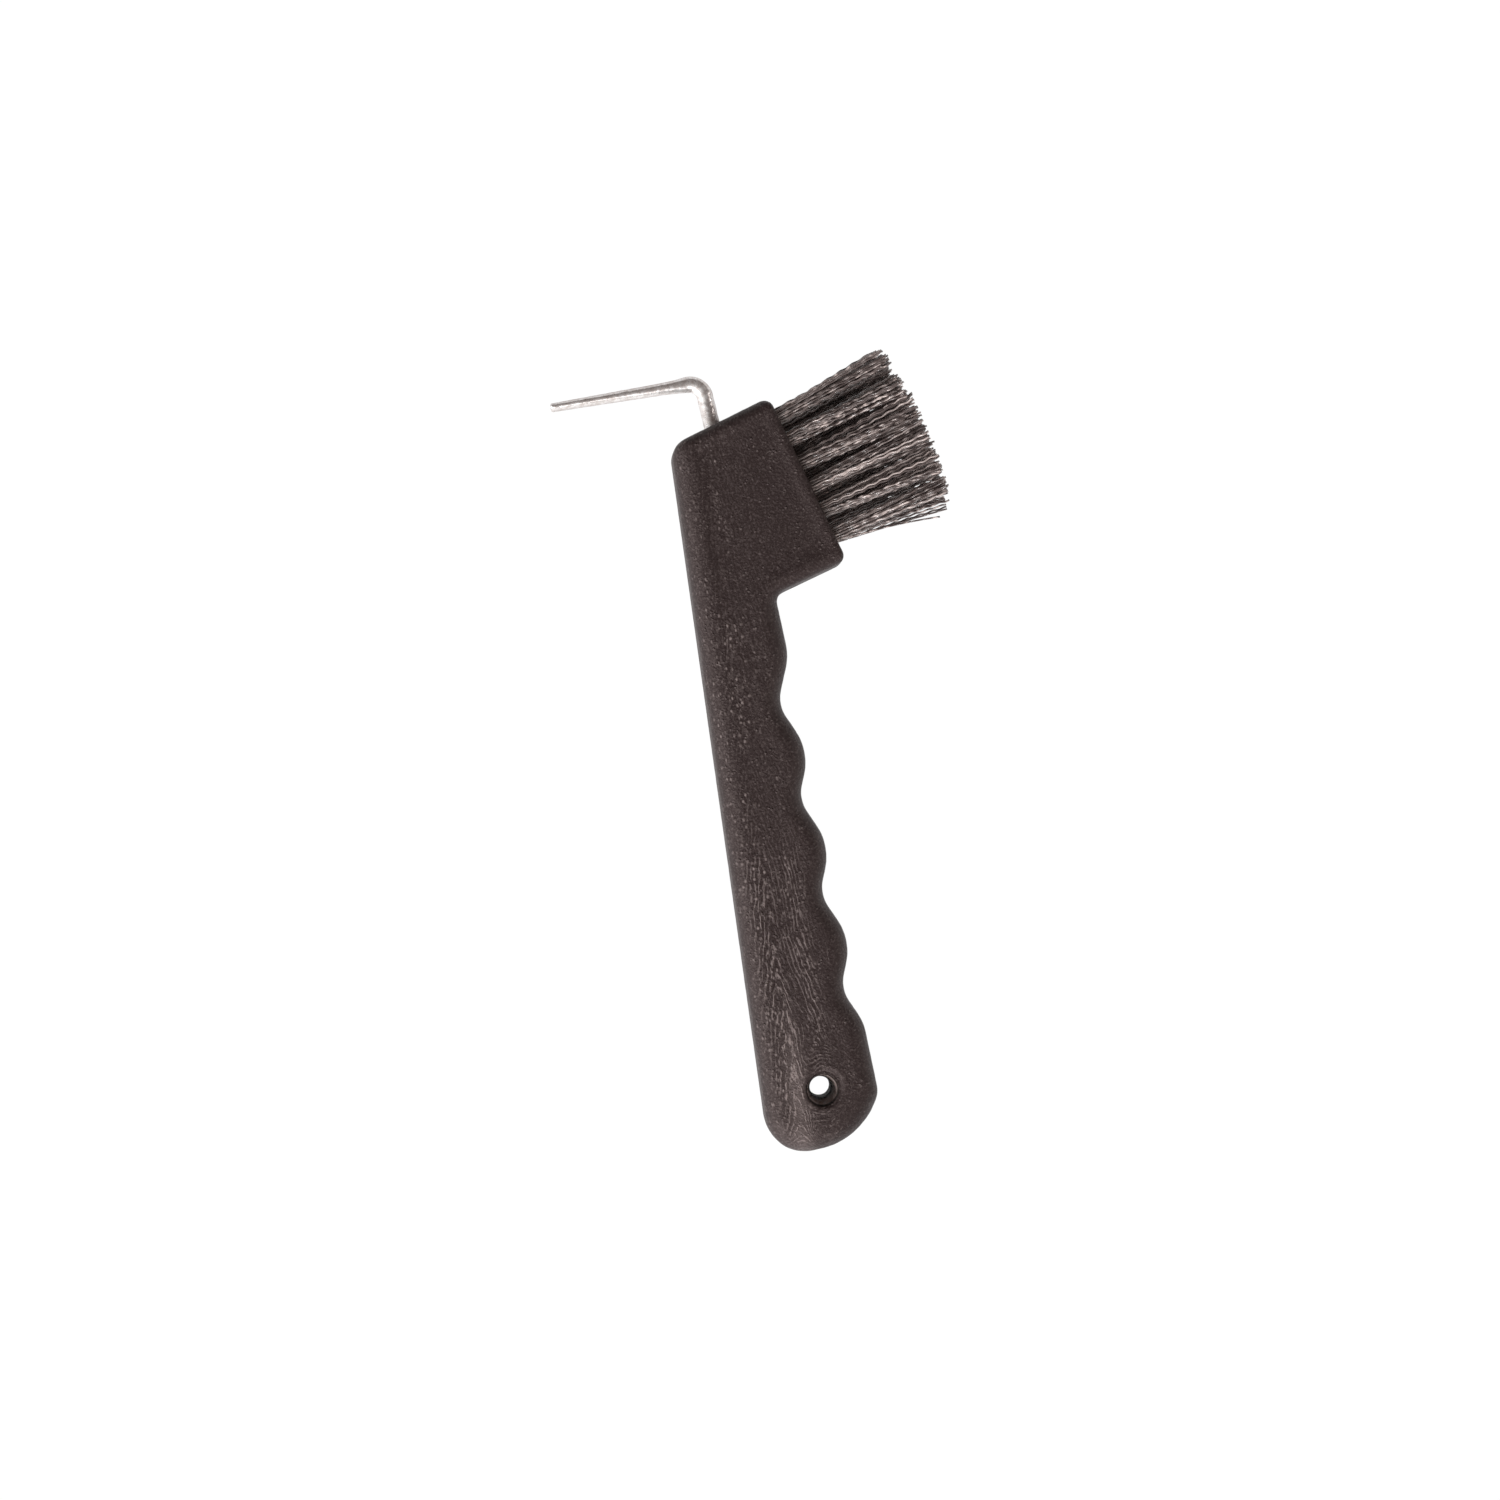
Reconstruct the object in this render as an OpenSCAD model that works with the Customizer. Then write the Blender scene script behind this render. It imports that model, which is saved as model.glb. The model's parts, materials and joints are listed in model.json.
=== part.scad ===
// Hoof pick with a brush: a moulded grip, a bent steel hook and staple-set tufts of stiff bristle.
// It lies on its side. +Y runs from the butt to the head, +X from the back edge to the brush and
// +Z up through the thickness. The origin is the middle of the footprint, on the face it rests on.
// Sizes are in millimetres. The grip is drawn from the butt's back corner, and placed() centres it.

/* [Grip] */
// Thickness of the grip and of the head
body_t = 21; // [17:0.5:26]
// Butt end to the inner corner under the head
grip_len = 131.2; // [105:1:160]
// Width of the butt
butt_w = 27.5; // [23:0.5:33]
// Width that the line of the finger crests starts from, at the butt
crest_w = 30; // [26:0.5:35]
// Width of the neck under the head
neck_w = 19.8; // [16:0.5:24]
// Number of finger grooves
groove_count = 4; // [3:1:5]
// Butt end to the bottom of the first groove
groove_start = 37; // [33:0.5:42]
// Depth of the grooves, before rounding
groove_depth = 5; // [3:0.25:6]
// Radius at the bottom of a groove
groove_r = 8; // [5:0.5:11]
// Radius over a crest between two grooves
crest_r = 13.5; // [8:0.5:16]

/* [Head] */
// Tilt of the brush face and of the shelf under it
head_tilt = 17.5; // [10:0.5:25]
// Slope of the face that the hook leaves
top_slope = 18.5; // [10:0.5:25]
// Inner corner to the outer corner of the shelf under the brush
shelf_len = 18.6; // [15:0.2:23]
// Length of the brush face, corner to corner
face_len = 42.8; // [36:0.2:52]

/* [Edges] */
// Edge radius along the back
back_edge_r = 5; // [2:0.25:6.5]
// Edge radius along the grooves
groove_edge_r = 4.5; // [2:0.25:6.5]
// Edge radius round the butt
butt_edge_r = 6; // [3:0.25:7]
// Edge radius of the head
head_edge_r = 2.75; // [1:0.25:4]
// Edge radius of the brush face
face_edge_r = 1.25; // [0.5:0.25:2]

/* [Hang hole] */
// Radius of the straight part of the hole
hang_r = 2.5; // [2:0.1:3.5]
// Radius at the open, tapered side
hang_mouth_r = 3.7; // [3:0.1:5]
// Length of the straight part
hang_wall = 8.5; // [6:0.5:12]
// Chamfer at the hole's lower end
hang_chamfer = 0.6; // [0.2:0.1:1]
// Back edge to the hole
hang_x = 14.2; // [12:0.1:18]
// Butt end to the hole
hang_y = 14.3; // [11:0.1:18]

/* [Hook] */
// Diameter of the steel rod
rod_d = 4; // [3:0.1:5]
// Back edge to where the rod leaves the head
hook_x = 10.75; // [8:0.25:14]
// Lean of the rod towards the back
rod_lean = 5.5; // [0:0.5:8]
// Head to the corner of the bend
hook_rise = 10.8; // [9:0.2:16]
// Radius of the bend, at the rod's middle
bend_r = 3.6; // [3.2:0.1:5]
// Corner of the bend to the tip
arm_len = 36.3; // [28:0.5:45]
// Droop of the arm towards its tip
arm_droop = 1.7; // [0:0.1:6]
// Thickness of the arm where the forging starts
arm_root_t = 3; // [2.4:0.1:3.6]
// Thickness of the arm at the tip
arm_tip_t = 2.1; // [1.5:0.1:3]
// Width of the arm at the tip
arm_tip_w = 6.4; // [5:0.2:9]
// Length of rod moulded into the head
tail_len = 42; // [30:1:50]
// Width of the flattened lug that keys the rod into the moulding
lug_w = 6; // [5:0.2:8]
// Thickness of the lug
lug_t = 2.4; // [1.8:0.1:3]

/* [Brush] */
// Tufts in each outer row
tufts = 6; // [4:1:7]
// Radius of a tuft's hole
tuft_r = 2; // [1.6:0.1:2.4]
// Depth of a tuft's hole
tuft_depth = 10; // [8:0.5:11.5]
// Shelf's corner to the first tuft
tuft_low_margin = 7; // [5:0.2:9]
// Head's top corner to the last tuft
tuft_top_margin = 4.9; // [4.5:0.1:7]
// Side of the head to the middle of an outer row
row_margin = 4.7; // [4:0.1:6]
// Length of the bristles outside the head, in the middle of the brush
bristle_len = 30.2; // [22:0.2:38]
// How much shorter the bristles are trimmed at the brush's ends
trim_crown = 1.5; // [0:0.1:4]
// Angle by which the end tufts fan out along the face
tuft_fan = 2.6; // [0:0.1:5]
// Gap between tufts at their tips, and between them and what the pick lies on
tuft_gap = 0.35; // [0.2:0.05:1]

/* [Hidden] */
step_angle = 8;       // turn of the outline between two points
rung_pitch = 4;       // greatest gap between two points along a straight run
edge_steps = 5;       // facets across an edge radius
least_r = 0.25;       // what is left of a corner's radius once its edges are rounded
anchor_t = 0.45;      // a tuft's anchor is a short strip of flat wire
anchor_h = 1.6;
anchor_bite = 0.4;    // how far each of its ends is driven into the moulding
anchor_floor = 0.8;   // bristle looped under the anchor
tuft_collar = 0.3;    // straight bristle at the mouth of the hole, before the tuft spreads
flat_len = 5;         // length over which the round rod becomes the flat arm
flat_w = 4.7;         // width there
lug_len = 7;
lug_end = 3;          // plain rod below the lug
arm_square = 2.4;     // exponent of the arm's section: 2 is an ellipse, and more is squarer
arm_bevel = 0.35;     // worn edge round the tip
hook_sides = 32;
bend_steps = 14;

shelf_end = [neck_w + shelf_len * cos(head_tilt), grip_len + shelf_len * sin(head_tilt)];
head_top = shelf_end + face_len * [-sin(head_tilt), cos(head_tilt)];
function top_y(x) = head_top[1] - (head_top[0] - x) * tan(top_slope);

// The grooves fill the grip from the first one to a plain run under the head.
crest_phase = 0.486;
neck_run = 14.7;
groove_pitch = (grip_len - groove_start - neck_run) / (groove_count - 1 + crest_phase);
function crest_x(y) = crest_w + (neck_w - crest_w) * y / grip_len;
function groove_y(i) = groove_start + i * groove_pitch;
function groove_pair(i) =
    let (low = groove_y(i), high = low + crest_phase * groove_pitch)
    [[crest_x(low) - groove_depth, low, groove_r, groove_edge_r],
     [crest_x(high), high, crest_r, groove_edge_r]];

// Corners of the outline, counter-clockwise: x, y, corner radius, and the edge radius after it.
butt_rise = 11.3;
shoulder = groove_start - 8.5;
corners = concat(
    [[butt_w - 6, 0, 18, butt_edge_r],
     [butt_w, butt_rise, (butt_edge_r + groove_edge_r) / 2 + least_r, groove_edge_r],
     [butt_w - 1.1, shoulder, 12.5, groove_edge_r]],
    [for (i = [0 : groove_count - 1]) each groove_pair(i)],
    [[neck_w, grip_len, 3, head_edge_r],
     [shelf_end[0], shelf_end[1], 2.2, face_edge_r],
     [head_top[0], head_top[1], 2.5, head_edge_r],
     [0, top_y(0), 5.2, back_edge_r],
     [0, 0, 9.5, butt_edge_r]]);
corner_count = len(corners);

function wrap(i, n) = (i + n) % n;
function unit(v) = v / norm(v);
function cross2(a, b) = a[0] * b[1] - a[1] * b[0];
function xy(p) = [p[0], p[1]];
edge_dir = [for (i = [0 : corner_count - 1])
    unit(xy(corners[wrap(i + 1, corner_count)]) - xy(corners[i]))];
edge_length = [for (i = [0 : corner_count - 1])
    norm(xy(corners[wrap(i + 1, corner_count)]) - xy(corners[i]))];
// Turn at each corner: positive where the outline bulges, negative where it is hollow.
turn = [for (i = [0 : corner_count - 1])
    let (a = edge_dir[wrap(i - 1, corner_count)], b = edge_dir[i])
    atan2(cross2(a, b), a * b)];
reach = [for (i = [0 : corner_count - 1]) corners[i][2] * tan(abs(turn[i]) / 2)];
// A corner's radius is limited by the edges that it has to fit on, with a little run left on each.
arc_share = 0.97;
function fit(i) = min(1, arc_share * edge_length[i] / (reach[i] + reach[wrap(i + 1, corner_count)]));
corner_r = [for (i = [0 : corner_count - 1])
    corners[i][2] * min(fit(i), fit(wrap(i - 1, corner_count)))];
arc_steps = [for (i = [0 : corner_count - 1]) max(1, ceil(abs(turn[i]) / step_angle))];
function arc_reach(i) = corner_r[i] * tan(abs(turn[i]) / 2);
run_steps = [for (i = [0 : corner_count - 1])
    ceil((edge_length[i] - arc_reach(i) - arc_reach(wrap(i + 1, corner_count))) / rung_pitch)];

// A rounded corner where each edge has moved in by its share of its own radius: the middle and
// radius of its arc, and the angle that the arc starts at.
function arc(i, share) =
    let (before = wrap(i - 1, corner_count),
         a = edge_dir[before], b = edge_dir[i],
         in_a = corners[before][3] * share, in_b = corners[i][3] * share,
         corner = xy(corners[i]) + (b * in_a - a * in_b) / cross2(a, b),
         side = sign(turn[i]),
         r = max(corner_r[i] - side * (in_a + in_b) / 2, least_r),
         start = corner - a * r * tan(abs(turn[i]) / 2))
    [start + side * r * [-a[1], a[0]], r, atan2(-side * a[0], side * a[1])];
function on_arc(arc, i, share) =
    let (angle = arc[2] + share * turn[i]) arc[0] + arc[1] * [cos(angle), sin(angle)];

// One ring of the moulding, at one angle round its rounded edges: arcs, and the runs between them.
function ring(angle, up) =
    let (arcs = [for (i = [0 : corner_count - 1]) arc(i, 1 - cos(angle))])
    [for (i = [0 : corner_count - 1])
        let (next = wrap(i + 1, corner_count),
             ra = corners[wrap(i - 1, corner_count)][3], rb = corners[i][3],
             from = on_arc(arcs[i], i, 1), to = on_arc(arcs[next], next, 0))
        each concat(
            [for (k = [0 : arc_steps[i]])
                let (share = k / arc_steps[i])
                lifted(on_arc(arcs[i], i, share), (ra + (rb - ra) * share) * (1 - sin(angle)), up)],
            [for (k = [1 : 1 : run_steps[i] - 1])
                lifted(from + (to - from) * k / run_steps[i], rb * (1 - sin(angle)), up)])];
function lifted(p, sink, up) = [p[0], p[1], up ? body_t - sink : sink];

// Triangles across a ring, up its two sides at once, from its lowest edge to its highest point.
function right_next(ring, i, j, top) =
    i < top && (i == 0 || j - 1 < top || ring[i + 1][1] <= ring[j - 1][1]);
function cap(ring, top) =
    [for (i = 0, j = len(ring) - 1, right = right_next(ring, i, j, top);
          j - i > 1;
          i = right ? i + 1 : i, j = right ? j : j - 1, right = right_next(ring, i, j, top))
        right ? [i, i + 1, j] : [i, j - 1, j]];
function highest(ring) =
    let (y = [for (p = ring) p[1]]) search(max(y), y)[0];

// The grip and head as one rounded block, before anything is cut into it.
module moulding() {
    rings = concat(
        [for (k = [edge_steps : -1 : 0]) ring(90 * k / edge_steps, false)],
        [for (k = [0 : edge_steps]) ring(90 * k / edge_steps, true)]);
    n = len(rings[0]);
    levels = len(rings);
    lid = cap(rings[0], highest(rings[0]));
    last = (levels - 1) * n;
    walls = [for (k = [0 : levels - 2], i = [0 : n - 1])
        let (a = k * n + i, b = k * n + wrap(i + 1, n)) each [[a, b + n, b], [a, a + n, b + n]]];
    polyhedron(
        points = [for (r = rings) each r],
        faces = concat(
            lid,
            walls,
            [for (f = lid) [f[0] + last, f[2] + last, f[1] + last]]));
}

// Brush rows, from the side that lies down to the side that faces up. The middle row is staggered.
row_names = ["lower", "middle", "upper"];
row_pitch = (body_t - 2 * row_margin) / 2;
tuft_pitch = (face_len - tuft_low_margin - tuft_top_margin) / (tufts - 1);
function row_tufts(row) = row == 1 ? tufts - 1 : tufts;
function along(row, i) = tuft_low_margin + (i + (row == 1 ? 0.5 : 0)) * tuft_pitch;
brush_middle = along(0, (tufts - 1) / 2);
half_row = (tufts - 1) * tuft_pitch / 2;
function place(row, i) = (along(row, i) - brush_middle) / half_row;
function tuft_len(row, i) = bristle_len - trim_crown * pow(place(row, i), 2);
function tuft_angle(row, i) = head_tilt + 0.5 + tuft_fan * place(row, i);
tip_pitch = tuft_pitch + (bristle_len - trim_crown) * sin(2 * tuft_fan / (tufts - 1));

// A tuft's radius at its tip leaves a gap to the next one in its row, and to the two beside it in
// the staggered row, which lies where the outer row's tips leave tuft_gap under them.
half_stack = body_t / 2 - tuft_gap;
stagger_b = 2 * half_stack + 4 * tuft_gap;
stagger_c = pow(tuft_gap, 2) - pow(half_stack, 2) - pow(tip_pitch / 2, 2);
stagger_tip_r = (sqrt(pow(stagger_b, 2) - 12 * stagger_c) - stagger_b) / 6;
tip_r = min((tip_pitch - tuft_gap) / 2, stagger_tip_r);
row_spread = half_stack - tip_r - row_pitch;
row_fan = asin(row_spread / bristle_len);
function tuft_root(row, i) = shelf_end + along(row, i) * [-sin(head_tilt), cos(head_tilt)];
function tuft_tip(row, i) =
    tuft_root(row, i) + tuft_len(row, i) * [cos(tuft_angle(row, i)), sin(tuft_angle(row, i))];

// Stands its children on the brush face, with +Z out along the tuft.
module at_tuft(row, i) {
    root = tuft_root(row, i);
    translate([root[0], root[1], body_t / 2 + (row - 1) * row_pitch])
        rotate([0, 90 - (row - 1) * row_fan, tuft_angle(row, i)])
            children();
}

module tuft_hole(row, i) {
    at_tuft(row, i)
        translate([0, 0, -tuft_depth])
            cylinder(r = tuft_r, h = tuft_depth + head_edge_r, $fn = 48);
}

// The strip of flat wire that staples one tuft into its hole.
module anchor(row, i) {
    at_tuft(row, i)
        translate([0, 0, anchor_floor + anchor_h / 2 - tuft_depth])
            cube([2 * (tuft_r + anchor_bite), anchor_t, anchor_h], center = true);
}

module anchors(row) {
    color("darkgoldenrod")
        for (i = [0 : row_tufts(row) - 1]) anchor(row, i);
}

module tuft(row, i) {
    color([0.16, 0.13, 0.12])
        difference() {
            at_tuft(row, i) {
                translate([0, 0, -tuft_depth])
                    cylinder(r = tuft_r, h = tuft_depth + tuft_collar, $fn = 48);
                translate([0, 0, tuft_collar])
                    cylinder(r1 = tuft_r, r2 = tip_r, h = tuft_len(row, i) - tuft_collar, $fn = 48);
            }
            anchor(row, i);
        }
}

// The hook's corner, where the rod's line meets the arm's line, and the round bend that joins them.
rod_dir = [-sin(rod_lean), cos(rod_lean)];
arm_dir = [-cos(arm_droop), -sin(arm_droop)];
hook_corner = [hook_x, top_y(hook_x)] + hook_rise * rod_dir;
bend_turn = 90 + arm_droop - rod_lean;
bend_reach = bend_r * tan(bend_turn / 2);
bend_middle = hook_corner - bend_reach * rod_dir + bend_r * [-rod_dir[1], rod_dir[0]];
rod_rise = hook_rise - bend_reach;

// Stands its children at the middle of the bend, with +Y along the rod and the rod at x = bend_r.
module at_bend() {
    translate([bend_middle[0], bend_middle[1], body_t / 2])
        rotate([0, 0, rod_lean])
            children();
}

// The lug keys the tail of the rod into the moulding.
module lug() {
    translate([bend_r, lug_end + lug_len / 2 - rod_rise - tail_len, 0])
        cube([lug_t, lug_len, lug_w], center = true);
}

// The space that the tail takes up inside the moulding, open through the sloping face above it.
module tail_space() {
    over = rod_d / 2;
    at_bend() {
        translate([bend_r, over - rod_rise, 0])
            rotate([90, 0, 0]) cylinder(d = rod_d, h = over + tail_len, $fn = 48);
        lug();
    }
}

// One ring of the hook: a superellipse of thickness t in the plane of the bend and width w across
// it, after the path has turned by some angle round the bend and run straight on for a length.
function hook_ring(angle, run, t, w, power) =
    [for (k = [0 : hook_sides - 1])
        let (c = cos(360 * k / hook_sides), d = sin(360 * k / hook_sides),
             out = bend_r + t / 2 * sign(c) * pow(abs(c), 2 / power))
        [out * cos(angle) - run * sin(angle),
         out * sin(angle) + run * cos(angle),
         -w / 2 * sign(d) * pow(abs(d), 2 / power)]];
function round_ring(angle, run) = hook_ring(angle, run, rod_d, rod_d, 2);

// The rod is round up to the end of the bend, and the arm is forged flat from there to its tip.
arm_run = arm_len - bend_reach;
hook_rings = concat(
    [round_ring(0, -rod_rise - tail_len)],
    [for (k = [0 : bend_steps]) round_ring(bend_turn * k / bend_steps, 0)],
    [hook_ring(bend_turn, flat_len / 2, (rod_d + arm_root_t) / 2 - 0.1, (rod_d + flat_w) / 2, 2.1),
     hook_ring(bend_turn, flat_len, arm_root_t, flat_w, 2.2),
     hook_ring(bend_turn, arm_run - arm_bevel, arm_tip_t, arm_tip_w, arm_square),
     hook_ring(bend_turn, arm_run, arm_tip_t - 2 * arm_bevel, arm_tip_w - 2 * arm_bevel, arm_square)]);

module hook() {
    n = hook_sides;
    levels = len(hook_rings);
    color("silver")
        at_bend() {
            lug();
            polyhedron(
                points = [for (r = hook_rings) each r],
                faces = concat(
                    [[for (i = [0 : n - 1]) i]],
                    [for (k = [0 : levels - 2], i = [0 : n - 1])
                        let (a = k * n + i, b = k * n + wrap(i + 1, n))
                        each [[a, b + n, b], [a, a + n, b + n]]],
                    [[for (i = [n - 1 : -1 : 0]) (levels - 1) * n + i]]));
        }
}

// A straight bore from the lower side, which a long taper opens up to the upper side.
module hang_hole() {
    over = 1;
    slope = (hang_mouth_r - hang_r) / (body_t - hang_chamfer - hang_wall);
    translate([hang_x, hang_y, 0]) {
        translate([0, 0, -over]) cylinder(r = hang_r, h = body_t + 2 * over, $fn = 64);
        translate([0, 0, -over])
            cylinder(r1 = hang_r + hang_chamfer + over, r2 = hang_r, h = hang_chamfer + over, $fn = 64);
        translate([0, 0, hang_chamfer + hang_wall])
            cylinder(r1 = hang_r, r2 = hang_mouth_r + over * slope,
                     h = body_t + over - hang_chamfer - hang_wall, $fn = 64);
    }
}

module handle() {
    color([0.23, 0.2, 0.2])
        difference() {
            moulding();
            hang_hole();
            tail_space();
            for (row = [0 : 2], i = [0 : row_tufts(row) - 1]) {
                tuft_hole(row, i);
                anchor(row, i);
            }
        }
}

// The footprint's middle, from the hook's tip to the furthest bristles and from the butt to the top.
tip_reach = [for (row = [0 : 1], i = [0 : row_tufts(row) - 1])
    tuft_tip(row, i) + tip_r * [sin(tuft_angle(row, i)), cos(tuft_angle(row, i))]];
low_x = hook_corner[0] + arm_len * arm_dir[0];
high_x = max([for (p = tip_reach) p[0]]);
high_y = max(concat([bend_middle[1] + bend_r + rod_d / 2], [for (p = tip_reach) p[1]]));

module placed() {
    translate([-(low_x + high_x) / 2, -high_y / 2, 0]) children();
}

function tuft_name(row, i) = str("tuft_", row_names[row], "_", i + 1);

placed() handle();
placed() hook();
placed() anchors(0);  // anchors_lower
placed() anchors(1);  // anchors_middle
placed() anchors(2);  // anchors_upper
for (row = [0 : 2], i = [0 : row_tufts(row) - 1])
    placed() tuft(row, i);
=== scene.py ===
import json
import math
import random

import bmesh
import bpy
import numpy as np
from mathutils import Matrix, Vector, noise
from mathutils.bvhtree import BVHTree
from mathutils.kdtree import KDTree


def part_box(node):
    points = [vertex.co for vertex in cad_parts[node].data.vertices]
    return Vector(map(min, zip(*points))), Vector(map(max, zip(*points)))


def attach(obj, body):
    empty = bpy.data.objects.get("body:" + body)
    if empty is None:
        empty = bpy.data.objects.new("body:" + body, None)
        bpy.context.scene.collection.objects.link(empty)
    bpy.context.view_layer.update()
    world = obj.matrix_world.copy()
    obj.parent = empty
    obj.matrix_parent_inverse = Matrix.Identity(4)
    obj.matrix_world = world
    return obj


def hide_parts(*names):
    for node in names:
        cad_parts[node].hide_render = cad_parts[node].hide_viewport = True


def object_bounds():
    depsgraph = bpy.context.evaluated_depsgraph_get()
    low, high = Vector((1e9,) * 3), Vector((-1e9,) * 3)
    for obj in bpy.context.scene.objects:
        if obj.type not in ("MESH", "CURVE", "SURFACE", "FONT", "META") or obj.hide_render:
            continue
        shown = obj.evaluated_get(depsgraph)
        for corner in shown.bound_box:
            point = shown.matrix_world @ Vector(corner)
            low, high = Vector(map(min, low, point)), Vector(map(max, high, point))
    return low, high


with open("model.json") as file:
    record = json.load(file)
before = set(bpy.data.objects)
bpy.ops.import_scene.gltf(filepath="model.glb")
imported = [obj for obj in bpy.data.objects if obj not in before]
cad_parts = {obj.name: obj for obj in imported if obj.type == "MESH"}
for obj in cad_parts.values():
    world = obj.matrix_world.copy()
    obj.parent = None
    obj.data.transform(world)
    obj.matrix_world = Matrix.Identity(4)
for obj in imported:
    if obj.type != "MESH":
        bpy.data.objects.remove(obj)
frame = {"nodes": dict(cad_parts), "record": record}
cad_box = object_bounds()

# The looks of a hoof pick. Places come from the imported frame, in metres. Shapes and marks are worked
# out in millimetres. Grip coordinates are measured from the grip's back corner at the butt: across
# runs towards the brush, along runs towards the head, and height is from half way up.

MM = 0.001
BODY = "root"
ROWS = {"lower": 6, "middle": 5, "upper": 6}     # tufts in each row

grip_low, grip_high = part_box("handle")
mid_z = (grip_low.z + grip_high.z) / 2
hang_hole = next(m for m in frame["record"]["mounts"] if m["name"] == "hang_hole")
hole_across = (hang_hole["pos_m"][0] - grip_low.x) / MM
hole_along = (hang_hole["pos_m"][1] - grip_low.y) / MM


# ---------------------------------------------------------------- camera, light and floor

CAMERA_ROLL = math.radians(8.06)
CAMERA_LEAN = math.radians(1.8)     # towards the back edge
CAMERA_DISTANCE = 1.05              # metres
FRAME_WIDTH = 355.8 * MM            # of what the picture takes in, at the tool
AIM_OFF_CENTRE = Vector((-9.79, 2.8, 0)) * MM
SENSOR = 36                         # mm


def make_camera():
    """Looks down on the tool, a little from its back side, with the tool turned in the picture."""
    low, high = (Vector(c) for c in cad_box)
    centre = (low + high) / 2
    centre.z = mid_z
    aim = centre + AIM_OFF_CENTRE
    up = Vector((math.sin(CAMERA_ROLL), math.cos(CAMERA_ROLL), 0))
    away = Vector((-math.sin(CAMERA_LEAN), 0, math.cos(CAMERA_LEAN)))
    camera = bpy.data.objects.new("camera", bpy.data.cameras.new("camera"))
    bpy.context.scene.collection.objects.link(camera)
    side = up.cross(away).normalized()
    rise = away.cross(side)
    turn = Matrix((side, rise, away)).transposed().to_4x4()
    camera.matrix_world = Matrix.Translation(aim + away * CAMERA_DISTANCE) @ turn
    camera.data.sensor_width = SENSOR
    camera.data.lens = SENSOR * CAMERA_DISTANCE / FRAME_WIDTH
    camera.data.clip_start = 0.01
    camera.data.clip_end = 20
    bpy.context.scene.camera = camera


def area_light(name, place, size, power, colour=(1, 1, 1)):
    """A rectangular light that faces the tool. Metres and watts."""
    light = bpy.data.lights.new(name, "AREA")
    light.shape = "RECTANGLE"
    light.size, light.size_y = size
    light.energy = power
    light.color = colour
    holder = bpy.data.objects.new(name, light)
    holder.location = place
    holder.rotation_euler = (-Vector(place)).to_track_quat("-Z", "Y").to_euler()
    bpy.context.scene.collection.objects.link(holder)


SKY_FROM = Vector((-0.62, -0.62, 0.40))     # the side of the sky that is bright
SKY_BRIGHT = (0.95, 0.94, 0.93, 1)
SKY_DIM = (0.13, 0.10, 0.09, 1)
SKY_STRENGTH = 0.75
FILL_COLOUR = (1, 0.95, 0.92)


def make_light():
    """A large soft light low at the back, and a sky that dims away from the back and butt."""
    area_light("key", place=(-1.20, -0.75, 0.62), size=(0.8, 0.6), power=29)
    area_light("front", place=(-0.25, -1.05, 1.10), size=(0.35, 0.25), power=6)
    area_light("fill", place=(1.3, -0.1, 0.55), size=(0.8, 0.8), power=8, colour=FILL_COLOUR)
    world = bpy.data.worlds.new("studio")
    world.use_nodes = True
    tree = world.node_tree
    place = tree.nodes.new("ShaderNodeTexCoord").outputs["Generated"]
    facing = tree.nodes.new("ShaderNodeVectorMath")
    facing.operation = "DOT_PRODUCT"
    facing.inputs[1].default_value = SKY_FROM.normalized()
    tree.links.new(place, facing.inputs[0])
    sky = tree.nodes.new("ShaderNodeValToRGB")
    dim, bright = sky.color_ramp.elements
    dim.position = 0.44
    dim.color = SKY_DIM
    bright.position = 0.66
    bright.color = SKY_BRIGHT
    tree.links.new(facing.outputs["Value"], sky.inputs["Fac"])
    background = tree.nodes["Background"]
    tree.links.new(sky.outputs["Color"], background.inputs["Color"])
    background.inputs["Strength"].default_value = SKY_STRENGTH
    bpy.context.scene.world = world
    bpy.context.scene.view_settings.view_transform = "Standard"
    bpy.context.scene.view_settings.look = "None"


FLOOR_HALF = 30.0           # metres
FLOOR_DROP = 0.05 * MM      # below the tool


def make_floor():
    """A white sheet that glows evenly, so the tool casts almost no shadow on it."""
    mesh = bpy.data.meshes.new("floor")
    corners = [(FLOOR_HALF * x, FLOOR_HALF * y, -FLOOR_DROP)
               for x, y in ((-1, -1), (1, -1), (1, 1), (-1, 1))]
    mesh.from_pydata(corners, [], [(0, 1, 2, 3)])
    floor = bpy.data.objects.new("floor", mesh)
    bpy.context.scene.collection.objects.link(floor)
    material = Material("floor_paper", roughness=0.9)
    material.set("Base Color", (0.02, 0.02, 0.02, 1))
    material.set("Specular IOR Level", 0.0)
    material.set("Emission Color", (1, 1, 1, 1))
    material.set("Emission Strength", 1.0)
    floor.data.materials.append(material.data)


# ---------------------------------------------------------------- materials

LINE_PITCH = 0.95       # mm between the melt's flow lines
SKIN_DARK = (0.0180, 0.0108, 0.0108, 1)
SKIN_PALE_AND_HIGHLIGHT = (0.200, 0.162, 0.156, 1)
SKIN_TINT = (0.90, 0.75, 0.72, 1)
BORE_PAINTED_SHADE = (0.012, 0.009, 0.008, 1)
BORE_PAINTED_LIGHT = (0.330, 0.260, 0.240, 1)
STEEL_BRIGHT = (0.92, 0.895, 0.885, 1)
STEEL_DULL = (0.70, 0.645, 0.62, 1)
STEEL_TINT = (0.42, 0.38, 0.37, 1)
FILAMENT_DARK = (0.068, 0.0490, 0.0465, 1)
FILAMENT_PALE_AND_HIGHLIGHT = (0.66, 0.56, 0.53, 1)
BRASS_DARK = (0.62, 0.44, 0.20, 1)
BRASS_PALE = (0.78, 0.60, 0.33, 1)


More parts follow.
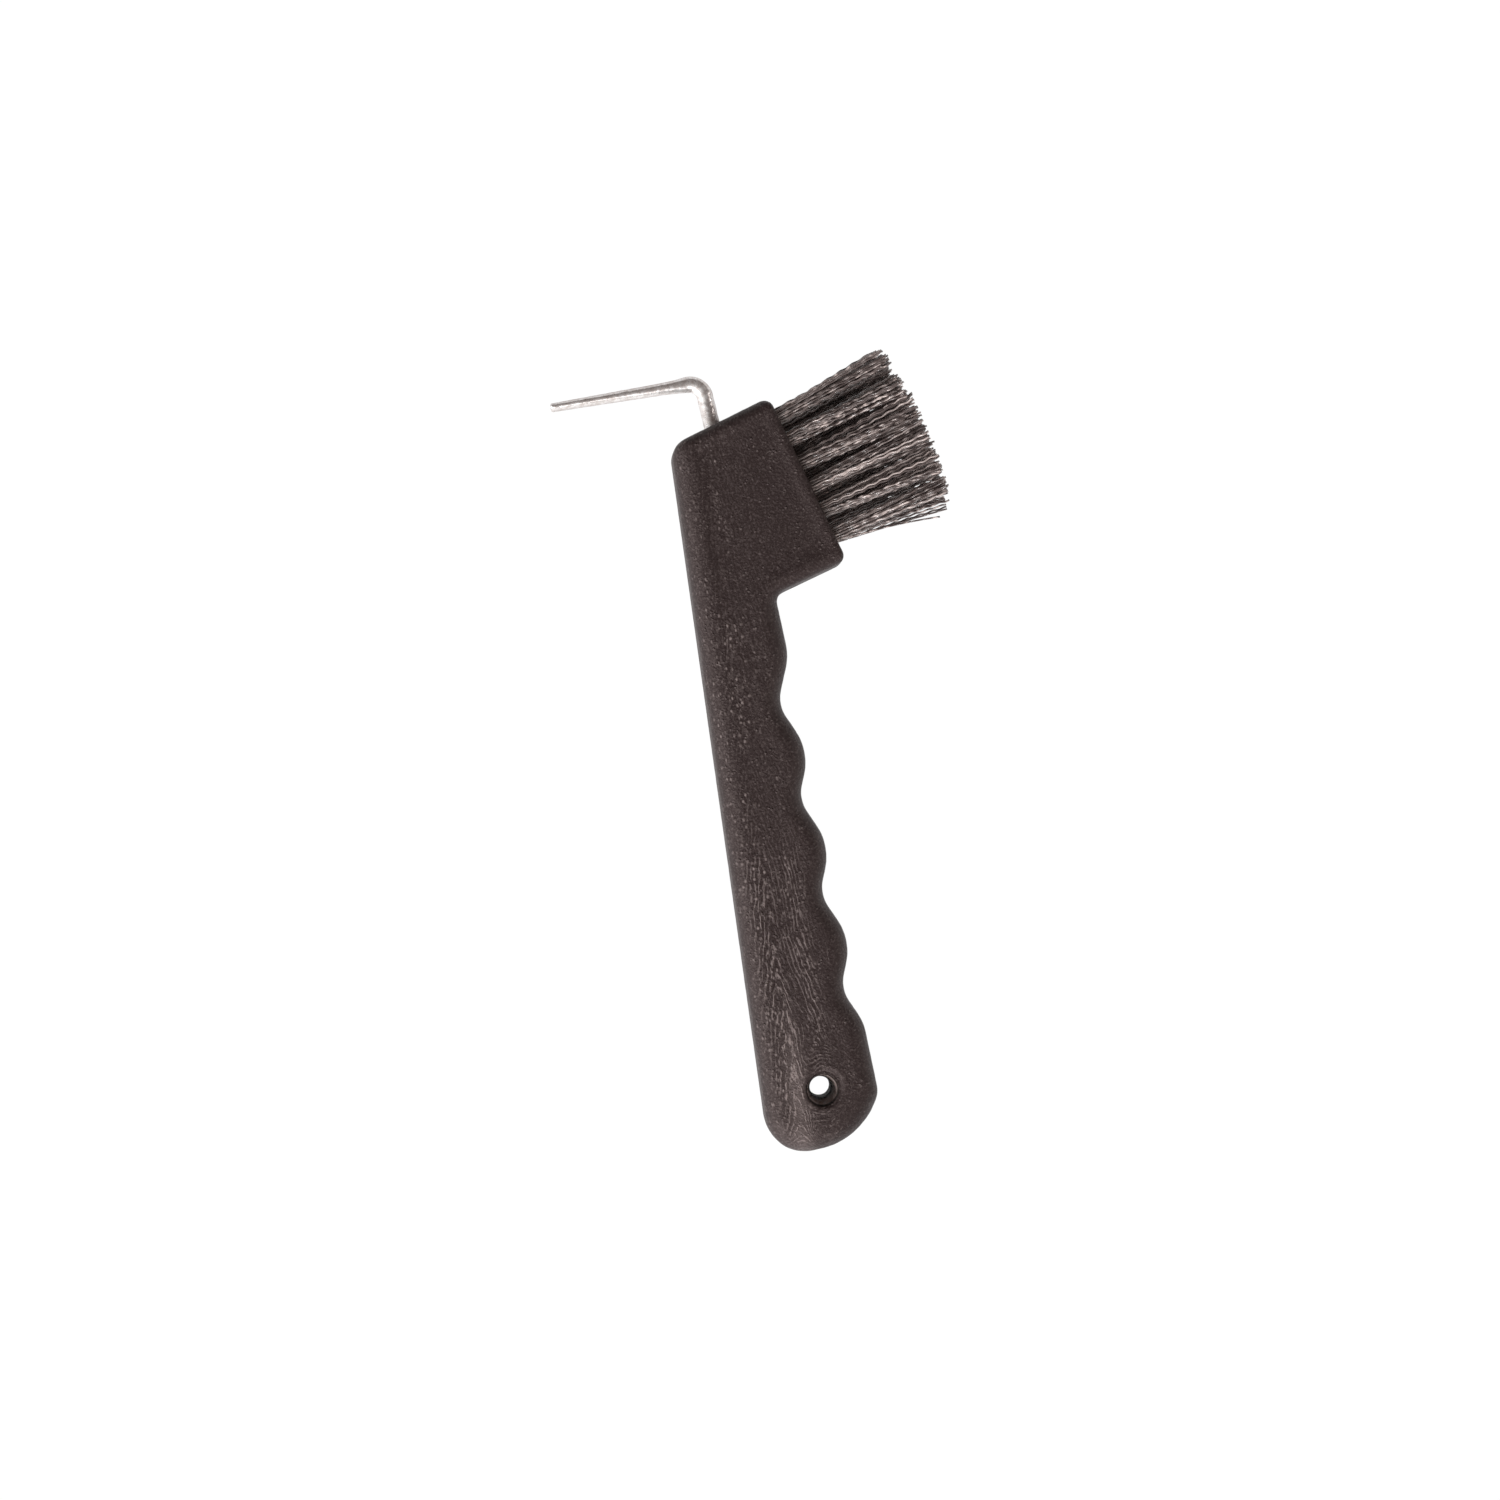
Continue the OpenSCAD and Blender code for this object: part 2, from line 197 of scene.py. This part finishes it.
class Material:
    """A node material with a Principled shader, built by naming nodes and what feeds them."""

    def __init__(self, name, roughness=0.5, metallic=0.0):
        self.data = bpy.data.materials.new(name)
        self.data.use_nodes = True
        self.tree = self.data.node_tree
        self.shader = self.tree.nodes["Principled BSDF"]
        self.set("Roughness", roughness)
        self.set("Metallic", metallic)

    def set(self, socket, value):
        self._feed(self.shader.inputs[socket], value)

    def _feed(self, socket, value):
        if isinstance(value, bpy.types.NodeSocket):
            self.tree.links.new(value, socket)
        else:
            socket.default_value = value

    def node(self, kind, inputs=None, out=0, **settings):
        """Adds a node, sets it up and returns one of its outputs."""
        made = self.tree.nodes.new("ShaderNode" + kind)
        for key, value in settings.items():
            setattr(made, key, value)
        for key, value in (inputs or {}).items():
            self._feed(made.inputs[key], value)
        return made.outputs[out]

    def scaled(self, place, scale):
        return self.node("Mapping", {"Vector": place, "Scale": scale})

    def millimetres(self):
        """Object coordinates in millimetres."""
        return self.scaled(self.node("TexCoord", out="Object"), (1 / MM, 1 / MM, 1 / MM))

    def noise(self, place, scale, detail, rough):
        return self.node("TexNoise", {"Vector": place, "Scale": scale, "Detail": detail,
                                      "Roughness": rough}, out="Fac")

    def ramp(self, value, low, high, to_low=0.0, to_high=1.0):
        """Spreads low to high over to_low to to_high, and holds it there beyond them."""
        return self.node("MapRange", {"Value": value, "From Min": low, "From Max": high,
                                      "To Min": to_low, "To Max": to_high}, clamp=True)

    def math(self, operation, a, b=0.0):
        return self.node("Math", {0: a, 1: b}, operation=operation)

    def mix(self, share, a, b):
        made = self.tree.nodes.new("ShaderNodeMix")
        made.data_type = "RGBA"
        self._feed(made.inputs["Factor"], share)
        self._feed(made.inputs[6], a)
        self._feed(made.inputs[7], b)
        return made.outputs[2]

    def attribute(self, name):
        return self.node("Attribute", out="Fac", attribute_name=name)

    def bump(self, height, distance, strength=1.0, normal=None):
        """Relief of a distance in mm, on top of the relief in normal if that is given."""
        inputs = {"Height": height, "Distance": distance * MM, "Strength": strength}
        if normal is not None:
            inputs["Normal"] = normal
        return self.node("Bump", inputs, out="Normal")


def moulded_plastic():
    """Foam-moulded plastic: near-black brown, with the melt's flow lines, blisters and grain. The
    blisters, grain and specks are painted paler on their raised spots as painted highlights, and the
    hang hole's wall has painted shade deep in it and painted light below its rim.
    """
    m = Material("foam_moulded_plastic")
    place = m.millimetres()
    side, run, line = (m.attribute("flow_" + name) for name in ("side", "run", "line"))
    lined, beaded = (m.attribute("flow_" + name) for name in ("lined", "beaded"))
    melt = m.node("CombineXYZ", {"X": side, "Y": run, "Z": m.attribute("flow_depth")})

    # Lines under a millimetre apart, which the melt bent, nested and broke.
    wobble = m.noise(m.scaled(melt, (0.55, 0.22, 0.4)), 1.0, 3.0, 0.55)
    phase = m.math("ADD", m.math("MULTIPLY", line, 2 * math.pi / LINE_PITCH),
                   m.math("MULTIPLY", wobble, 11.0))
    lines = m.ramp(m.math("SINE", phase), -0.1, 0.9)
    breaks = m.noise(m.scaled(melt, (1.0, 0.5, 0.8)), 1.0, 3.0, 0.6)
    broken = m.math("MULTIPLY", lines, m.ramp(breaks, 0.40, 0.58))
    # Blisters, strung out along the flow, painted paler as painted highlights.
    strung = m.scaled(melt, (1.0, 0.7, 0.9))
    beads = m.node("TexVoronoi", {"Vector": strung, "Scale": 1.0}, out="Distance")
    size = m.node("TexVoronoi", {"Vector": strung, "Scale": 1.0}, out="Color")
    blister = m.math("MULTIPLY", m.ramp(beads, 0.42, 0.14), m.ramp(size, 0.30, 0.75))
    # The skin's own grain, with a few specks that don't follow the flow, both painted paler on their
    # raised spots as painted highlights.
    grain = m.noise(place, 1.9, 3.0, 0.7)
    dots = m.node("TexVoronoi", {"Vector": place, "Scale": 0.95}, out="Distance")
    chance = m.noise(place, 0.40, 2.0, 0.6)
    specks = m.math("MULTIPLY", m.ramp(dots, 0.36, 0.16), m.ramp(chance, 0.50, 0.66))

    marks = m.math("MAXIMUM", m.math("MULTIPLY", lined, broken),
                   m.math("MULTIPLY", beaded, blister))
    relief = m.math("ADD", marks, m.math("ADD", m.math("MULTIPLY", grain, 0.9), specks))
    # Paler where the relief stands up: the flow lines' own tone, and painted highlights on the
    # blisters, grain and specks.
    pale = m.math("ADD", marks, m.math("ADD", m.ramp(grain, 0.50, 0.68, 0.0, 0.24),
                                       m.math("MULTIPLY", specks, 0.30)))
    plume = m.math("MULTIPLY", m.attribute("flow_plume"), 0.40)
    pale = m.math("ADD", pale, plume)
    # The hang hole's wall is painted: painted shade deep in it, and painted light in the band below
    # its rim.
    bore = m.attribute("bore")
    skin = m.mix(pale, SKIN_DARK, SKIN_PALE_AND_HIGHLIGHT)
    hole = m.mix(m.attribute("mouth"), BORE_PAINTED_SHADE, BORE_PAINTED_LIGHT)
    m.set("Base Color", m.mix(bore, skin, hole))
    m.set("Roughness", m.ramp(bore, 0.0, 1.0, 0.50, 0.65))
    m.set("Specular IOR Level", m.ramp(bore, 0.0, 1.0, 0.36, 0.10))
    m.set("Specular Tint", SKIN_TINT)
    m.set("Normal", m.bump(relief, 0.26))
    return m.data


def plated_steel():
    """Zinc-plated wire, dulled and dented by forging."""
    m = Material("plated_steel", metallic=0.72)
    place = m.millimetres()
    mottle = m.noise(place, 0.8, 4.0, 0.65)
    grain = m.noise(place, 3.2, 3.0, 0.6)
    tarnish = m.ramp(mottle, 0.42, 0.60)
    m.set("Base Color", m.mix(tarnish, STEEL_BRIGHT, STEEL_DULL))
    m.set("Specular Tint", STEEL_TINT)
    m.set("Roughness", m.ramp(grain, 0.3, 0.7, 0.24, 0.40))
    dents = m.bump(m.noise(place, 0.9, 2.0, 0.5), 0.25, 0.35)
    m.set("Normal", m.bump(grain, 0.05, 0.30, dents))
    return m.data


def filament_plastic():
    """Extruded filament: glossy dark brown, painted paler as painted highlights, and as painted light
    near the face.
    """
    m = Material("crimped_filament")
    scuff = m.noise(m.millimetres(), 1.8, 2.0, 0.6)
    m.set("Base Color", m.mix(m.attribute("shade"), FILAMENT_DARK, FILAMENT_PALE_AND_HIGHLIGHT))
    m.set("Roughness", m.ramp(scuff, 0.3, 0.7, 0.16, 0.32))
    m.set("Specular IOR Level", 1.0)
    m.set("Coat Weight", 0.5)
    m.set("Coat Roughness", 0.10)
    return m.data


def anchor_brass():
    """Drawn brass wire, for the anchors inside the head."""
    m = Material("anchor_brass", metallic=1.0)
    drawn = m.noise(m.millimetres(), 4.0, 3.0, 0.6)
    m.set("Base Color", m.mix(drawn, BRASS_DARK, BRASS_PALE))
    m.set("Roughness", m.ramp(drawn, 0.3, 0.7, 0.25, 0.45))
    m.set("Normal", m.bump(drawn, 0.02, 0.4))
    return m.data


# ---------------------------------------------------------------- fine skins over CAD solids

def fine_skin(node, name, voxel):
    """An even, welded mesh over a CAD node's shape, as an object of its own. Voxel is in mm."""
    mesh = frame["nodes"][node].data.copy()
    weld = bmesh.new()
    weld.from_mesh(mesh)
    bmesh.ops.remove_doubles(weld, verts=weld.verts, dist=1e-6)
    weld.to_mesh(mesh)
    weld.free()
    piece = bpy.data.objects.new(name, mesh)
    bpy.context.scene.collection.objects.link(piece)
    remesh = piece.modifiers.new("even", "REMESH")
    remesh.mode = "VOXEL"
    remesh.voxel_size = voxel * MM
    remesh.use_smooth_shade = True
    bpy.context.view_layer.update()
    even = bpy.data.meshes.new_from_object(
        piece.evaluated_get(bpy.context.evaluated_depsgraph_get()))
    piece.modifiers.clear()
    piece.data = even
    even.materials.clear()
    return piece


def points(mesh):
    """The vertices' places, a row each."""
    co = np.empty(len(mesh.vertices) * 3)
    mesh.vertices.foreach_get("co", co)
    return co.reshape(-1, 3)


def normals(mesh):
    """The way out of the surface at each vertex."""
    out = np.empty(len(mesh.vertices) * 3)
    mesh.vertex_normals.foreach_get("vector", out)
    return out.reshape(-1, 3)


def set_points(mesh, co):
    """Puts the vertices at the places that points() gave, once they are changed."""
    mesh.vertices.foreach_set("co", co.ravel())
    mesh.update()


def neighbour_average(mesh):
    """A function that gives, for one value a vertex, the average over each vertex's neighbours."""
    edges = np.empty(len(mesh.edges) * 2, int)
    mesh.edges.foreach_get("vertices", edges)
    a, b = edges.reshape(-1, 2).T
    count = len(mesh.vertices)
    degree = np.bincount(np.concatenate([a, b]), minlength=count)
    return lambda value: (np.bincount(a, value[b], count) + np.bincount(b, value[a], count)) / degree


SMOOTH_IN = 0.5
SMOOTH_OUT = -0.52
SETTLE_ROUNDS = 12


def relax(mesh, rounds):
    """Smooths away the facets and voxel steps, with a push back out after each step in."""
    average = neighbour_average(mesh)
    co = points(mesh)
    for _ in range(rounds):
        for amount in (SMOOTH_IN, SMOOTH_OUT):
            around = np.column_stack([average(co[:, axis]) for axis in range(3)])
            co += amount * (around - co)
    set_points(mesh, co)


def settle(mesh, node):
    """Moves an evened mesh back out to the CAD surface, by the local average of what it lost."""
    solid = frame["nodes"][node].data
    surface = BVHTree.FromPolygons([v.co for v in solid.vertices],
                                   [p.vertices for p in solid.polygons])
    co = points(mesh)
    out = normals(mesh)
    short = np.empty(len(co))
    for i, (spot, way) in enumerate(zip(co, out)):
        short[i] = (np.array(surface.find_nearest(spot)[0]) - spot) @ way
    average = neighbour_average(mesh)
    for _ in range(SETTLE_ROUNDS):
        short = average(short)
    set_points(mesh, co + out * short[:, None])


def noise_at(x, y, z=0.0):
    """Noise from -1 to 1 at each point of arrays."""
    z = np.broadcast_to(z, np.shape(x))
    return np.array([noise.noise((p, q, r)) for p, q, r in zip(x, y, z)])


def smooth_step(x, low, high):
    """0 below low, 1 above high, and a smooth rise between them."""
    t = np.clip((x - low) / (high - low), 0, 1)
    return t * t * (3 - 2 * t)


def bell(x, centre, spread):
    """1 at the centre, and fading to nothing on both sides of it."""
    return np.exp(-((x - centre) / spread) ** 2)


# ---------------------------------------------------------------- the grip

def melt_flow(across, along, depth):
    """How the melt ran down the grip and round the back of the hang hole. Gives, in millimetres,
    the places across and along the flow and the place the flow lines are counted from, then how
    strongly lines and blisters show and where the pale plume is."""
    x = across - hole_across
    y = along - hole_along
    radius = np.hypot(x, y)
    straight = y > 0
    side = np.where(straight, x, -radius)
    run = np.where(straight, y, -radius * np.arctan2(-y, -x))
    layer = depth * 0.2
    swirl = (1.3 * noise_at(side * 0.11, run * 0.04, layer)
             + 0.45 * noise_at(side * 0.4 + 9, run * 0.13, layer))

    wander = 1.4 * noise_at(along * 0.03, np.full_like(along, 3))
    # The lines nest like arrow heads up the plume and like rings round the hole.
    off_lane = across - 8.0 - 0.5 * wander
    nested = np.sqrt(off_lane ** 2 + 0.8) + 0.16 * along
    ringed = smooth_step(x, -5.0, -1.0) * (1 - smooth_step(radius, 8.0, 14.0))
    line = nested * (1 - ringed) + radius * ringed + swirl + 0.8 * np.abs(depth)

    grip = 1 - smooth_step(along, 118, 140)
    low = 1 - smooth_step(along, 50, 85)
    back_lane = bell(across, 6.6 + wander, 3.0)
    front_lane = bell(across, 14.2 + wander, 2.6) * bell(along, 46, 30) * 0.8
    head_lanes = (bell(across, 9.5, 1.0) + bell(across, 18.5, 1.0)) * bell(along, 142, 24)
    patchy = np.clip(0.75 + 1.2 * noise_at(across * 0.16, along * 0.07, layer + 4), 0, 1.5)
    plume = bell(across, 8.3, 2.4) * bell(along, 13, 15)
    beside = 1 - 0.8 * smooth_step(across, hole_across + 2, hole_across + 5)
    lined = (0.08 + patchy * grip * (back_lane + front_lane) * (0.15 + 0.85 * low)) * beside
    lined += 0.7 * plume
    # Denser blisters along the back edge, and with them painted highlights on the side that the light
    # falls on.
    back_edge = (1 - smooth_step(across, 3.0, 5.5)) * 0.75
    beaded = patchy * (0.22 + grip * (back_lane * 0.9 + front_lane) + 0.55 * head_lanes) * beside
    beaded = np.maximum(beaded, back_edge)
    return side + swirl, run, line, np.clip(lined, 0, 1.2), np.clip(beaded, 0, 1), plume


def rim_distance(co, out):
    """How far each point of the flat sides is from the rounded edges, in mm, or 0 off them."""
    flat = np.abs(out[:, 2]) > 0.995
    rim = np.flatnonzero(~flat & (np.abs(out[:, 2]) > 0.6))
    tree = KDTree(len(rim))
    for i in rim:
        tree.insert(co[i], i)
    tree.balance()
    away = np.zeros(len(co))
    for i in np.flatnonzero(flat):
        away[i] = tree.find(co[i])[2] / MM
    return away


SINK = 0.11             # mm that the flat sides sink
HEAD_SINK = 0.23        # mm more in the head
SINK_RIM = 3.2          # mm from the rounded edges to where the sink is full
DIMPLE_DEPTH = 0.6      # mm
DIMPLE_SHIFT = 0.5      # mm that the dimple lies off the hang hole's axis, across and along
PARTING_STEP = 0.10     # mm
BORE_REACH = 3.75       # mm from the hang hole's axis to just past its mouth


def make_grip(material):
    """The moulding: softened edges, sunken sides, a pebbled skin and a dimple at the hole."""
    grip = fine_skin("handle", "grip_moulding", voxel=0.47)
    mesh = grip.data
    relax(mesh, rounds=6)
    settle(mesh, "handle")
    co = points(mesh)
    out = normals(mesh)
    across = (co[:, 0] - grip_low.x) / MM
    along = (co[:, 1] - grip_low.y) / MM
    height = (co[:, 2] - mid_z) / MM
    side, run, line, lined, beaded, plume = melt_flow(across, along, height)

    # Thick plastic sinks as it cools, most in the head.
    sink = SINK + HEAD_SINK * smooth_step(along, 120, 145)
    sink = sink * smooth_step(rim_distance(co, out), 0.0, SINK_RIM)
    pebble = noise_at(across * 0.55, along * 0.40, height * 0.55)
    fine = noise_at(side * 0.9, run * 0.35, height * 0.5)
    lift = 0.05 * pebble + 0.06 * lined * fine + 0.08 * plume - sink
    from_hole = np.hypot(across - hole_across, along - hole_along)
    # The melt's marks are faint round the edges and down the narrow sides.
    facing = smooth_step(np.abs(out[:, 2]), 0.5, 0.9)
    lined *= 0.35 + 0.65 * facing
    beaded *= 0.45 + 0.55 * facing
    dimple = np.hypot(across - hole_across - DIMPLE_SHIFT, along - hole_along - DIMPLE_SHIFT)
    lift -= DIMPLE_DEPTH * (1 - smooth_step(dimple, 3.9, 5.1)) * facing
    # The mould's halves meet half way up, a hair out of line.
    lift -= PARTING_STEP * smooth_step(height, -0.2, 0.2) * (1 - facing)
    co += out * (lift * MM)[:, None]
    set_points(mesh, np.clip(co, grip_low, grip_high))
    # Where the material paints the hang hole's wall dark as painted shade, and the band below its rim
    # pale as painted light.
    bore = (from_hole < BORE_REACH) & (facing < 0.5)
    mouth = bore * smooth_step(height, -1.0, 3.0) * (1 - smooth_step(height, 7.5, 9.0))
    for name, value in (("flow_side", side), ("flow_run", run), ("flow_line", line),
                        ("flow_depth", height), ("flow_lined", lined), ("flow_beaded", beaded),
                        ("flow_plume", plume), ("bore", bore), ("mouth", mouth)):
        attribute = mesh.attributes.new(name, "FLOAT", "POINT")
        attribute.data.foreach_set("value", value.astype(np.float32))
    mesh.materials.append(material)
    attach(grip, BODY)
    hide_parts("handle")


# ---------------------------------------------------------------- the hook

def make_hook(material):
    """The forged hook, with the shallow dents that flattening leaves on the arm."""
    hook = fine_skin("hook", "steel_hook", voxel=0.17)
    mesh = hook.data
    relax(mesh, rounds=8)
    settle(mesh, "hook")
    co = points(mesh)
    out = normals(mesh)
    x, y, z = (co / MM).T
    dents = noise_at(x * 0.55, y * 0.55, z * 0.55) + 0.5 * noise_at(x * 1.3, y * 1.3, z * 1.3)
    set_points(mesh, co + out * (np.minimum(0.05 * dents - 0.04, 0) * MM)[:, None])
    mesh.materials.append(material)
    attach(hook, BODY)
    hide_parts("hook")


# ---------------------------------------------------------------- the brush

FILAMENTS = 44          # in a tuft
FILAMENT_R = 0.23       # mm
SIDES = 6               # of a filament's section
MOUTH = 10.0            # mm from a tuft's root to the brush face
HIDDEN = 9.0            # mm of the filaments that are made below the face
HOLE_FILL = 1.72        # mm, how far from its middle a tuft's filaments stand in the hole
TIP_ROOM = 0.15         # mm between the outer filaments and the edge of the tuft's solid, at the tip
LOCKS = 6               # filaments cling together in locks
LOCK_RING = 0.62        # share of HOLE_FILL at which the locks stand
CRIMP = 0.16            # mm, how far the crimps swing
CRIMP_PITCH = 3.4       # mm
CRIMP_STEPS = 6         # rings of the mesh in a crimp
FRAYED = 2              # filaments bent away from each row's first tuft, nearest the grip
GOLDEN_TURN = math.pi * (3 - math.sqrt(5))

# Shares of the filaments
STRAY_SHARE = 0.12      # that bow away from their lock
SHORT_SHARE = 0.10      # that end well below the others
PALE_SHARE = 0.15       # that are painted pale all along, as a painted highlight


def tuft_shape(node):
    """A tuft's root, tip, direction and radius at the tip, read from the solid that stands for it."""
    co = points(frame["nodes"][node].data)
    centre = co.mean(0)
    axis = np.linalg.svd(co - centre, full_matrices=False)[2][0]
    axis = axis if axis[0] > 0 else -axis
    reach = (co - centre) @ axis
    end_depth = 0.25 * MM
    root = co[reach < reach.min() + end_depth].mean(0)
    end = co[reach > reach.max() - end_depth]
    tip = end.mean(0)
    axis = (tip - root) / np.linalg.norm(tip - root)
    radius = np.linalg.norm(end - tip, axis=1).max()
    return Vector(root), Vector(tip), Vector(axis), radius


def tube(path, across, upward, spin):
    """Rings round a filament's path, whose bends are slight, with both ends closed."""
    angles = [spin + 2 * math.pi * k / SIDES for k in range(SIDES)]
    radius = FILAMENT_R * MM
    ring = [across * (radius * math.cos(a)) + upward * (radius * math.sin(a)) for a in angles]
    verts = [p + r for p in path for r in ring]
    faces = []
    for level in range(len(path) - 1):
        a = level * SIDES
        for k in range(SIDES):
            n = (k + 1) % SIDES
            faces.append((a + k, a + n, a + SIDES + n, a + SIDES + k))
    last = (len(path) - 1) * SIDES
    faces.append(tuple(range(SIDES - 1, -1, -1)))
    faces.append(tuple(last + k for k in range(SIDES)))
    return verts, faces


class Lock:
    """Filaments of a tuft that cling together: where they stand, how they bend and crimp."""

    def __init__(self, rng, turn):
        turn += rng.uniform(-0.3, 0.3)
        self.stand = Vector((math.cos(turn), math.sin(turn))) * HOLE_FILL * LOCK_RING
        self.slant = Vector((rng.gauss(0, 0.75), rng.gauss(0, 0.4)))
        self.bow = Vector((rng.gauss(0, 0.35), rng.gauss(0, 0.3)))
        self.wave_turn = rng.uniform(0, math.pi)
        self.phase = rng.uniform(0, 2 * math.pi)
        self.pitch = CRIMP_PITCH * rng.uniform(0.9, 1.1)
        self.shade = rng.uniform(0.0, 0.10)


class Filament:
    """One filament of a tuft, a little different from its lock. Its sizes are in mm."""

    def __init__(self, rng, number, locks, frayed):
        self.number = number
        r = HOLE_FILL * math.sqrt((number + 0.5) / FILAMENTS)
        turn = number * GOLDEN_TURN + rng.uniform(-0.15, 0.15)
        self.stand = Vector((r * math.cos(turn), r * math.sin(turn)))
        self.lock = min(locks, key=lambda lock: (lock.stand - self.stand).length)
        stray = 3.0 if rng.random() < STRAY_SHARE else 1.0
        self.bow = self.lock.bow + Vector((rng.gauss(0, 0.24), rng.gauss(0, 0.2))) * stray
        self.slant = self.lock.slant + Vector((rng.gauss(0, 0.45), rng.gauss(0, 0.35)))
        self.wave_turn = self.lock.wave_turn + rng.gauss(0, 0.45)
        if frayed:
            self.bow.x -= rng.uniform(0.8, 2.6)
        self.phase = self.lock.phase + rng.gauss(0, 0.9)
        self.pitch = self.lock.pitch * rng.uniform(0.98, 1.02)
        self.short = rng.gauss(0, 0.42)
        if rng.random() < SHORT_SHARE:
            self.short += rng.uniform(0.5, 2.5)
        if frayed:
            self.short += rng.uniform(0, 3)
        # Its lock's own tone, plus a painted highlight all along some of them, then how strongly
        # painted highlight patches show along it.
        self.pale = self.lock.shade
        if rng.random() < PALE_SHARE:
            self.pale += rng.uniform(0.30, 0.8)
        self.glint_patches = rng.uniform(0, 1) ** 2

    def offset(self, reached, out, flare):
        """Where it is across the tuft, once it has reached that far from the root. Out is 0 at the
        face and 1 at the tip of the tuft's solid."""
        spread = 1 + (flare - 1) * out ** 0.8
        close = (self.stand - self.lock.stand) * (1 - 0.35 * min(1.0, out))
        swing = CRIMP * math.sin(2 * math.pi * reached / self.pitch + self.phase)
        wave = Vector((math.cos(self.wave_turn), math.sin(self.wave_turn)))
        return (self.lock.stand * spread + close * (0.5 + 0.5 * spread) + self.slant * out
                + self.bow * out * out + wave * swing * min(1, 0.35 + out * 5))

    def paleness(self, reached, out, beat):
        """How pale it is there: painted light near the face, where the roots lie in the head's shadow,
        and painted highlight patches along it.
        """
        # Painted light near the face, where the roots lie in the head's shadow.
        root_light = 0.20 * max(0.0, 1 - 2.0 * out)
        patch = max(0.0, noise.noise((reached * 0.85, self.number * 3.7, beat)) - 0.06)
        return min(1.0, self.pale + root_light + 4.2 * self.glint_patches * patch)


def make_tuft(name, shape, outward, along, trim, material):
    """One bundle of crimped filaments, tight in its hole and spreading to the trimmed tips."""
    root, tip, axis, tip_radius = shape
    across = (along - axis * (along @ axis)).normalized()
    upward = axis.cross(across)
    length = (tip - root).length / MM
    flare = (tip_radius / MM - FILAMENT_R - TIP_ROOM) / HOLE_FILL
    low = np.array(cad_box[0]) + FILAMENT_R * MM
    high = np.array(cad_box[1]) - FILAMENT_R * MM
    rng = random.Random("tuft " + name)
    beat = rng.uniform(0, 100)
    frayed = FRAYED if name.endswith("_1") else 0
    locks = [Lock(rng, k * 2 * math.pi / LOCKS) for k in range(LOCKS)]
    verts, faces, shades = [], [], []
    for number in range(FILAMENTS):
        filament = Filament(rng, number, locks, number >= FILAMENTS - frayed)
        steps = int((length - MOUTH + HIDDEN) / filament.pitch * CRIMP_STEPS)
        # Where this filament meets the trimmed surface, from its own line through the tuft.
        end = tip + (across * filament.stand.x + upward * filament.stand.y) * flare * MM
        trimmed = np.polyval(trim, end @ along / MM) - end @ outward / MM
        reach = trimmed + length - filament.short
        path = []
        for step in range(steps + 1):
            reached = (MOUTH - HIDDEN) + (reach - MOUTH + HIDDEN) * step / steps
            out = max(0.0, reached - MOUTH) / (length - MOUTH)
            off = filament.offset(reached, out, flare)
            spot = root + axis * (reached * MM) + (across * off.x + upward * off.y) * MM
            path.append(Vector(np.clip(spot, low, high)))
            shades += [filament.paleness(reached, out, beat)] * SIDES
        tube_verts, tube_faces = tube(path, across, upward, filament.wave_turn)
        first = len(verts)
        verts += tube_verts
        faces += [tuple(first + i for i in face) for face in tube_faces]
    mesh = bpy.data.meshes.new("bristles_" + name)
    mesh.from_pydata(verts, [], faces)
    mesh.polygons.foreach_set("use_smooth", [len(f) == 4 for f in faces])
    attribute = mesh.attributes.new("shade", "FLOAT", "POINT")
    attribute.data.foreach_set("value", shades)
    mesh.materials.append(material)
    piece = bpy.data.objects.new("bristles_" + name, mesh)
    bpy.context.scene.collection.objects.link(piece)
    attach(piece, BODY)
    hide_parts("tuft_" + name)


def make_tufts(material):
    """The brush, a piece for each tuft."""
    shapes = {f"{row}_{i + 1}": tuft_shape(f"tuft_{row}_{i + 1}")
              for row, count in ROWS.items() for i in range(count)}
    # The brush is trimmed to one crowned surface: how far out it lies, against the place along it.
    outward = sum((shape[2] for shape in shapes.values()), Vector()).normalized()
    outward.z = 0
    outward.normalize()
    along = Vector((-outward.y, outward.x, 0))
    tips = [shape[1] for shape in shapes.values()]
    trim = np.polyfit([t @ along / MM for t in tips], [t @ outward / MM for t in tips], 2)
    for name, shape in shapes.items():
        make_tuft(name, shape, outward, along, trim, material)


def finish_anchors(material):
    """The anchors keep their CAD solids and get a material."""
    for row in ROWS:
        anchors = frame["nodes"]["anchors_" + row]
        anchors.data.materials.clear()
        anchors.data.materials.append(material)


make_camera()
make_light()
make_floor()
make_grip(moulded_plastic())
make_hook(plated_steel())
make_tufts(filament_plastic())
finish_anchors(anchor_brass())
